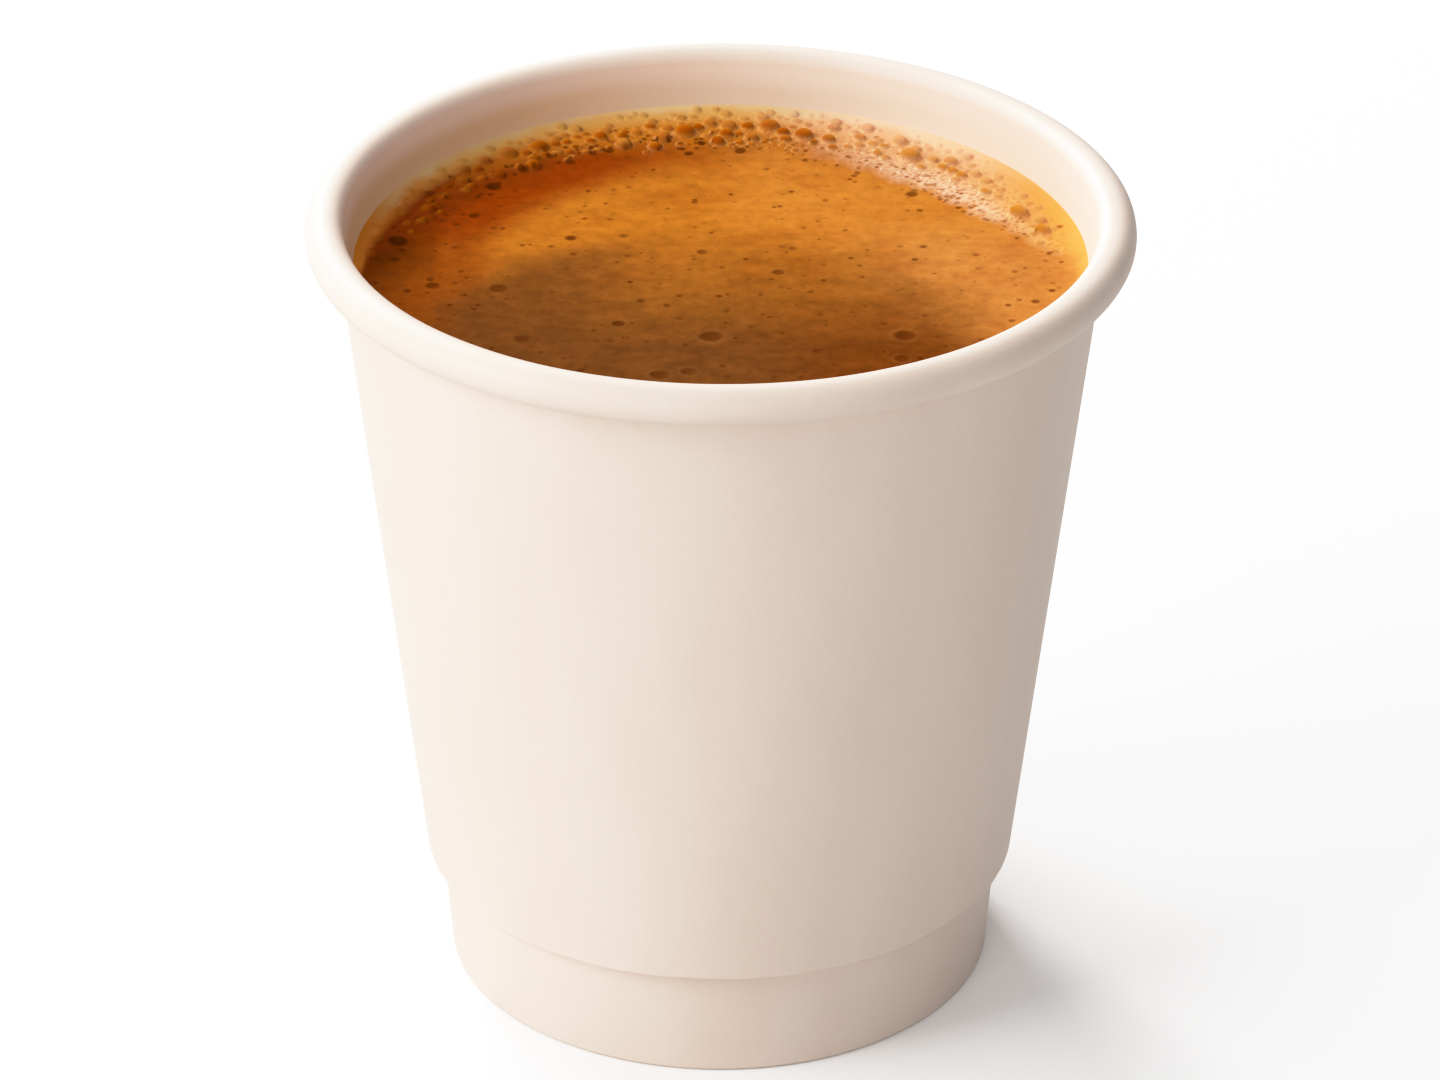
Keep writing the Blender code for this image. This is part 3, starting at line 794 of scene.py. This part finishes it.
def ramp(value, low, high, to_low=0.0, to_high=1.0, way="SMOOTHSTEP"):
    """value brought from low..high to to_low..to_high, clamped, with eased or straight ends."""
    inputs = {"Value": value, "From Min": low, "From Max": high, "To Min": to_low, "To Max": to_high}
    return follow("ShaderNodeMapRange", inputs, interpolation_type=way)["Result"]


def zone(value, stretch, to_low=0.0, to_high=1.0, way="SMOOTHSTEP"):
    """As ramp, over a stretch given in mm."""
    return ramp(value, stretch[0] * MM, stretch[1] * MM, to_low, to_high, way)


def math_node(operation, first, second):
    return follow("ShaderNodeMath", {0: first, 1: second}, operation=operation)[0]


def product(first, *others):
    """Values multiplied one after another."""
    for other in others:
        first = math_node("MULTIPLY", first, other)
    return first


def vector_math(operation, *values, **named):
    """Outputs of a vector node; values fill its inputs in order."""
    inputs = {**dict(enumerate(values)), **named}
    return follow("ShaderNodeVectorMath", inputs, operation=operation)


def blend(share, first, second, way="MIX"):
    """Mixes two colours by share, or darkens, multiplies and so on as way says."""
    first, second = (colour if is_socket(colour) else (*colour, 1.0) for colour in (first, second))
    inputs = {0: share, 6: first, 7: second}
    return follow("ShaderNodeMix", inputs, data_type="RGBA", blend_type=way)[2]


def left_to_right(x, colours, stretches):
    """A colour for the left, the centre and the right, blended over two stretches of X in mm."""
    left, centre, right = colours
    return blend(zone(x, stretches[1]), blend(zone(x, stretches[0]), left, centre), right)


def on_piece(tree):
    """Where a point lies, in metres from its piece's origin, which is the part's own."""
    return place(tree, "ShaderNodeTexCoord").outputs["Object"]


def along_axes(vector):
    return follow("ShaderNodeSeparateXYZ", {0: vector})


def scaled(vector, scale):
    return follow("ShaderNodeMapping", {"Vector": vector, "Scale": scale})[0]


def distance_from(vector, centre=(0.0, 0.0)):
    """Distance in plan from a centre, given in metres; without one, from the axis."""
    away = (-centre[0], -centre[1], 0.0)
    flat = vector_math("MULTIPLY_ADD", vector, (1.0, 1.0, 0.0), away)[0]
    return vector_math("LENGTH", flat)["Value"]


def board_group():
    """Board: blotches a few millimetres wide, fine fibres, and a fibre height for bump."""
    inputs = {"Light": (1.0, 1.0, 1.0, 1.0), "Deep": (0.5, 0.5, 0.5, 1.0), "Blotch": 0.5}
    tree, given, out = new_group("board_fibre", inputs, ("Color", "Height", "Roughness"))
    here = on_piece(tree)
    blotches = ramp(noise(scaled(here, BLOTCH_STRETCH), *BLOTCHES), *BLOTCH_RAMP)
    fibres = noise(here, *FIBRES)
    fine = product(ramp(fibres, *FIBRE_RAMP), FIBRE_SHARE)
    share = math_node("ADD", product(blotches, given["Blotch"]), fine)
    colour = blend(share, given["Light"], given["Deep"])
    connect(out, Color=colour, Height=fibres, Roughness=ramp(fibres, *BOARD_ROUGHNESS))
    return tree


def painted_inside_shade(tree, colour):
    """Painted shade and bounce light inside the cup: warmer than outside, browner on the left."""
    here = on_piece(tree)
    x, _, height = along_axes(here)
    slope = (MOUTH_RADIUS - SHOULDER_RADIUS) / (MOUTH_Z - SHOULDER_Z)
    leaning = math_node("SUBTRACT", distance_from(here), product(height, slope))
    middle = SHOULDER_RADIUS - slope * SHOULDER_Z - 0.5 * PAPER
    within = ramp(leaning, middle + TINT_SOFTNESS, middle - TINT_SOFTNESS)
    below = ramp(height, *(CUP_HEIGHT - depth * MM for depth in TINT_DEPTHS))
    tint = left_to_right(x, INSIDE_SHADE_AND_BOUNCE, INSIDE_X)
    rise = ramp(height, CREMA_LEVEL, MOUTH_Z + UPPER_RISE)
    tint = blend(product(zone(x, UPPER_X), rise), tint, UPPER_INSIDE_SHADE)
    return blend(product(within, below), colour, tint)


def board_material(name, group, blotch, relief, tinted=False):
    """Uncoated board; tinted paints shade and warm bounce light on the inside of the cup."""
    material, tree, shader = new_material(name, Specular_IOR_Level=BOARD_SPECULAR)
    inputs = {"Light": (*BOARD_LIGHT, 1.0), "Deep": (*BOARD_DEEP, 1.0), "Blotch": blotch}
    fibre = place(tree, "ShaderNodeGroup", inputs, node_tree=group).outputs
    bump = {"Strength": relief, "Distance": FIBRE_HEIGHT, "Height": fibre["Height"]}
    colour = painted_inside_shade(tree, fibre["Color"]) if tinted else fibre["Color"]
    normal = follow("ShaderNodeBump", bump)["Normal"]
    connect(shader.inputs, Base_Color=colour, Roughness=fibre["Roughness"], Normal=normal)
    return material


def foam_group():
    """Crema tones: amber, browner towards the front, partly as painted shade; painted shade deep in a
    band inside the froth and on the left; finely mottled.

    Its other outputs are Height, for bump; Wall and Edge, near the wall but not at the front; Side and
    Right, growing to the right; and Cell, 0 on the borders between the tiniest bubbles."""
    outputs = ("Color", "Height", "Wall", "Edge", "Side", "Right", "Cell")
    tree, given, out = new_group("crema_tone", {"Stir": STIR}, outputs)
    here = on_piece(tree)
    mottle = noise(here, *MOTTLE)
    stir = noise(here, STIR_CELLS, output="Color")
    stir = vector_math("SUBTRACT", stir, (0.5, 0.5, 0.5))[0]
    stir = vector_math("SCALE", stir, Scale=given["Stir"])[0]
    moved = vector_math("ADD", here, stir)[0]
    x, y, _ = along_axes(moved)
    from_patch, from_axis = distance_from(moved, PATCH_CENTRE), distance_from(moved)

    tone = blend(zone(x, PALE_X), AMBER, PALE_AMBER)
    tone = blend(product(zone(y, LIT_Y), zone(x, LIT_X)), tone, LIT_AMBER)
    tone = blend(ramp(noise(here, *SWIRL), *SWIRL_RAMP), tone, DEEP_AMBER_AND_SHADE)
    # Painted shade: the left of the crema darkened where the rim's shadow falls, darkest near the wall
    left_shade = zone(x, FAR_LEFT_X)
    tone = blend(left_shade, tone, LEFT_SHADED_AMBER)
    dark = product(left_shade, zone(from_axis, LEFT_EDGE_REACH), zone(y, LEFT_EDGE_Y, LEFT_EDGE_LEAST))
    tone = blend(dark, tone, LEFT_EDGE_SHADE)
    # Painted shade: a deep band inside the froth, where the rim's shadow falls
    band = product(zone(from_axis, BAND_REACH), zone(x, BAND_X), zone(y, BAND_Y))
    tone = blend(band, tone, DEEP_AMBER_AND_SHADE)
    # The brown patch at the front: partly the crema's own tone, partly painted shade where reflected
    # light falls off towards the front
    brown = blend(zone(x, RED_X), BROWN, RED_BROWN)
    left = product(zone(from_patch, SPREAD_REACH), zone(x, SPREAD_X, 0.0, SPREAD_SHARE))
    front = product(zone(y, PATCH_Y, way="LINEAR"), zone(from_patch, PATCH_REACH))
    tone = blend(front, blend(left, tone, brown), brown)
    tone = blend(1.0, tone, ramp(mottle, *MOTTLE_RAMP), "MULTIPLY")
    streaks = noise(scaled(here, STREAK_STRETCH), *STREAKS)
    tone = blend(1.0, tone, ramp(streaks, *STREAK_RAMP), "MULTIPLY")
    clouds = ramp(noise(scaled(here, CLOUD_STRETCH), *CLOUDS), *CLOUD_RAMP)
    tone = blend(ramp(front, *CLOUDY_FRONT), tone, clouds, "MULTIPLY")

    behind = zone(y, NEAR_Y, NEAR_LEAST)
    edge = product(zone(from_axis, EDGE_REACH), behind, zone(x, EDGE_X))
    cells = {"Vector": moved, "Scale": CELLS_PER_METRE, "Randomness": 1.0}
    cells = follow("ShaderNodeTexVoronoi", cells, feature="DISTANCE_TO_EDGE")["Distance"]
    connect(
        out, Color=tone, Height=mottle, Wall=product(zone(from_axis, WALL_REACH), behind), Edge=edge,
        Side=zone(x, SIDE_X), Right=zone(x, RIGHT_X), Cell=ramp(cells, *CELL_RAMP),
    )
    return tree


def foam_material(name, group):
    """Wet foam.

    Between its bubbles the froth turns from amber to gold towards the wall, browner on the left, partly
    as painted shade, and paler on the right, partly as painted sheen. A bubble's cap has painted light
    on the wall's side and painted shade towards the axis, and its hue makes it paler or deeper. Pits
    are dark, and bubbles are shaded flatter than they stand."""
    material, tree, shader = new_material(name, Specular_IOR_Level=0.0, Coat_Roughness=FOAM_COAT)
    tone = place(tree, "ShaderNodeGroup", {"Stir": STIR}, node_tree=group).outputs
    froth, bubble, inward, pit, film, hue, wallward = [
        place(tree, "ShaderNodeAttribute", attribute_name=mark).outputs["Fac"]
        for mark in ("froth", "bubble", "inward", "pit", "film", "hue", "wallward")
    ]
    x = along_axes(on_piece(tree))["X"]

    # Froth between the bubbles: partly painted shade on the left, partly painted sheen on the right
    inner = left_to_right(x, FROTH_INSIDE, INNER_X)
    middle = left_to_right(x, FROTH_MIDWAY, MIDDLE_X)
    outer = left_to_right(x, FROTH_OUTSIDE, OUTER_X)
    far_right = zone(x, HONEY_X, 0.0, HONEY_SHARE)
    outer = blend(far_right, outer, FROTH_HONEY)
    between = blend(ramp(wallward, *TO_MIDDLE), inner, middle)
    between = blend(ramp(wallward, *TO_OUTER), between, outer)
    between = blend(far_right, between, FROTH_HONEY)
    cells = product(tone["Cell"], ramp(wallward, *CELL_FADE), zone(x, CELL_X, *CELL_SHARES))
    between = blend(cells, between, blend(tone["Right"], FINE_BROWN, FINE_AMBER))
    colour = blend(product(froth, FROTH_SHARE), tone["Color"], between)
    film = product(film, zone(x, FILM_X, *FILM_SHARES))
    colour = blend(film, colour, blend(tone["Side"], FILM_BROWN, FILM_PALE))

    # Painted light and shade on each bubble's cap: gold on the wall's side, dark towards the axis
    top = left_to_right(x, BUBBLE_TOP, BUBBLE_X)
    upper = left_to_right(x, BUBBLE_UPPER, BUBBLE_X)
    lower = left_to_right(x, BUBBLE_LOWER, BUBBLE_X)
    cap = blend(ramp(inward, *CAP_LOWER), upper, lower)
    cap = blend(ramp(inward, *CAP_TOP), top, cap)
    cap = blend(ramp(hue, *PALE_HUES), cap, top)
    deep = product(ramp(hue, *DEEP_HUES), ramp(wallward, *DEEP_FADE))
    cap = blend(deep, cap, lower)
    cap = blend(ramp(wallward, *CAP_GOLD), cap, outer)
    shown = product(ramp(bubble, *CAP_SHOWN), ramp(wallward, *CAP_FADE))
    colour = blend(shown, colour, cap)

    colour = blend(product(tone["Wall"], WALL_SHARE), colour, outer)
    colour = blend(tone["Edge"], colour, left_to_right(x, AT_WALL, WALL_X))
    hollow = blend(product(froth, tone["Right"]), PIT_BROWN, PORE_AMBER)
    colour = blend(pit, colour, hollow)
    facing = place(tree, "ShaderNodeNewGeometry").outputs["Normal"]
    lifted = vector_math("MULTIPLY_ADD", ramp(bubble, *THIN_SKIN), (0.0, 0.0, 1.0), facing)[0]
    lifted = vector_math("NORMALIZE", lifted)[0]
    bump = {"Strength": FOAM_BUMP, "Distance": FOAM_BUMP_HEIGHT, "Height": tone["Height"]}
    normal = follow("ShaderNodeBump", {**bump, "Normal": lifted})["Normal"]
    wet = product(
        froth, ramp(tone["Right"], *WET_RIGHT), ramp(pit, *WET_PIT), ramp(bubble, *WET_BUBBLE),
        ramp(tone["Wall"], *WET_WALL), zone(x, DRY_X, 1.0, 0.0),
    )
    roughness = ramp(froth, *FOAM_ROUGHNESS)
    connect(shader.inputs, Base_Color=colour, Roughness=roughness, Coat_Weight=wet, Normal=normal)
    return material


def coffee_material():
    """Dark coffee with faint cloudiness."""
    values = {"Roughness": BREW_ROUGHNESS, "Coat_Weight": BREW_COAT}
    material, tree, shader = new_material("coffee_brew", **values)
    cloud = ramp(noise(on_piece(tree), *BREW_CLOUDS), *BREW_RAMP)
    connect(shader.inputs, Base_Color=blend(cloud, COFFEE_DARK, COFFEE_LIGHT))
    return material


# Studio

def floor_material():
    """Pale floor: the camera sees it near white, and it throws back less light than that."""
    material = bpy.data.materials.new("studio_floor")
    material.use_nodes = True
    tree = material.node_tree
    tree.nodes.clear()
    seen = place(tree, "ShaderNodeLightPath").outputs["Is Camera Ray"]
    colour = blend(seen, FLOOR_BOUNCE, FLOOR_SEEN)
    matt = place(tree, "ShaderNodeBsdfDiffuse", {"Color": colour})
    place(tree, "ShaderNodeOutputMaterial", {"Surface": matt.outputs[0]})
    return material


def studio_floor():
    """A flat square under the cup."""
    mesh = bpy.data.meshes.new("floor")
    corners = ((-1, -1), (1, -1), (1, 1), (-1, 1))
    mesh.from_pydata([(FLOOR_HALF * x, FLOOR_HALF * y, 0.0) for x, y in corners], [], [(0, 1, 2, 3)])
    mesh.materials.append(floor_material())
    floor = new_object("floor", mesh)


def soft_light(name, azimuth, height, distance, size, power):
    """A square softbox aimed at the cup; azimuth and height are degrees, seen from the cup."""
    light = bpy.data.lights.new(name, "AREA")
    light.size, light.energy = size, power
    lamp = new_object(name, light)
    a, h = math.radians(azimuth), math.radians(height)
    away = Vector((math.cos(a) * math.cos(h), math.sin(a) * math.cos(h), math.sin(h)))
    lamp.location = Vector((0.0, 0.0, 0.5 * CUP_HEIGHT)) + distance * away
    lamp.rotation_euler = away.to_track_quat("Z", "Y").to_euler()


def surroundings():
    """Dim white light from all round."""
    world = bpy.data.worlds.new("studio")
    world.use_nodes = True
    light = world.node_tree.nodes["Background"].inputs
    light["Color"].default_value = (1.0, 1.0, 1.0, 1.0)
    light["Strength"].default_value = WORLD_STRENGTH
    bpy.context.scene.world = world


def camera():
    """Aimed at a height on the cup's axis, from the front and above, and rolled a little."""
    lens = bpy.data.cameras.new("camera")
    lens.lens, lens.sensor_width, lens.clip_start = CAMERA_LENS, CAMERA_SENSOR, CAMERA_NEAR
    view = new_object("camera", lens)
    above = math.radians(CAMERA_HEIGHT_ANGLE)
    away = Vector((0.0, -math.cos(above), math.sin(above)))
    roll = Matrix.Rotation(math.radians(CAMERA_ROLL), 4, "Z")
    turn = away.to_track_quat("Z", "Y").to_matrix().to_4x4() @ roll
    aim = Vector((0.0, 0.0, CAMERA_AIM_Z))
    view.matrix_world = Matrix.Translation(aim + CAMERA_DISTANCE * away) @ turn
    bpy.context.scene.camera = view


def exposure():
    """The view's tone curve, through the points of SHOULDER."""
    view = bpy.context.scene.view_settings
    view.view_transform = "Standard"
    view.use_curve_mapping = True
    curves = view.curve_mapping
    brightest = SHOULDER[-1][0]
    curves.white_level = (brightest, brightest, brightest)
    curve = curves.curves[3]
    for point, (light, shown) in zip(curve.points, (SHOULDER[0], SHOULDER[-1])):
        point.location = (light / brightest, shown)
    for light, shown in SHOULDER[1:-1]:
        curve.points.new(light / brightest, shown)
    curves.update()


def main():
    fibre = board_group()
    cup_board = board_material("cup_board", fibre, blotch=0.5, relief=0.25, tinted=True)
    wrap_board = board_material("wrap_board", fibre, blotch=0.45, relief=0.35)
    turned("cup_wall", "inner_cup", inner_cup_outline(), cup_board, cup_sway)
    turned("cup_base", "base_disc", base_disc_outline(), cup_board, still)
    turned("cup_wrap", "outer_wrap", outer_wrap_outline(), wrap_board, wrap_sway)
    foam = foam_material("crema_foam", foam_group())
    crema_middle(foam)
    crema_ring("crema_band", MIDDLE_RADIUS, RING_SPLIT, BAND_ROWS, foam)
    outermost = drink_edge(CREMA_LEVEL + MENISCUS_RISE)
    crema_ring("crema_froth", RING_SPLIT, outermost, FROTH_ROWS, foam)
    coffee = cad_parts["coffee"]
    coffee.data.materials.clear()
    coffee.data.materials.append(coffee_material())
    studio_floor()
    for light in SOFT_LIGHTS:
        soft_light(*light)
    surroundings()
    camera()
    exposure()


main()
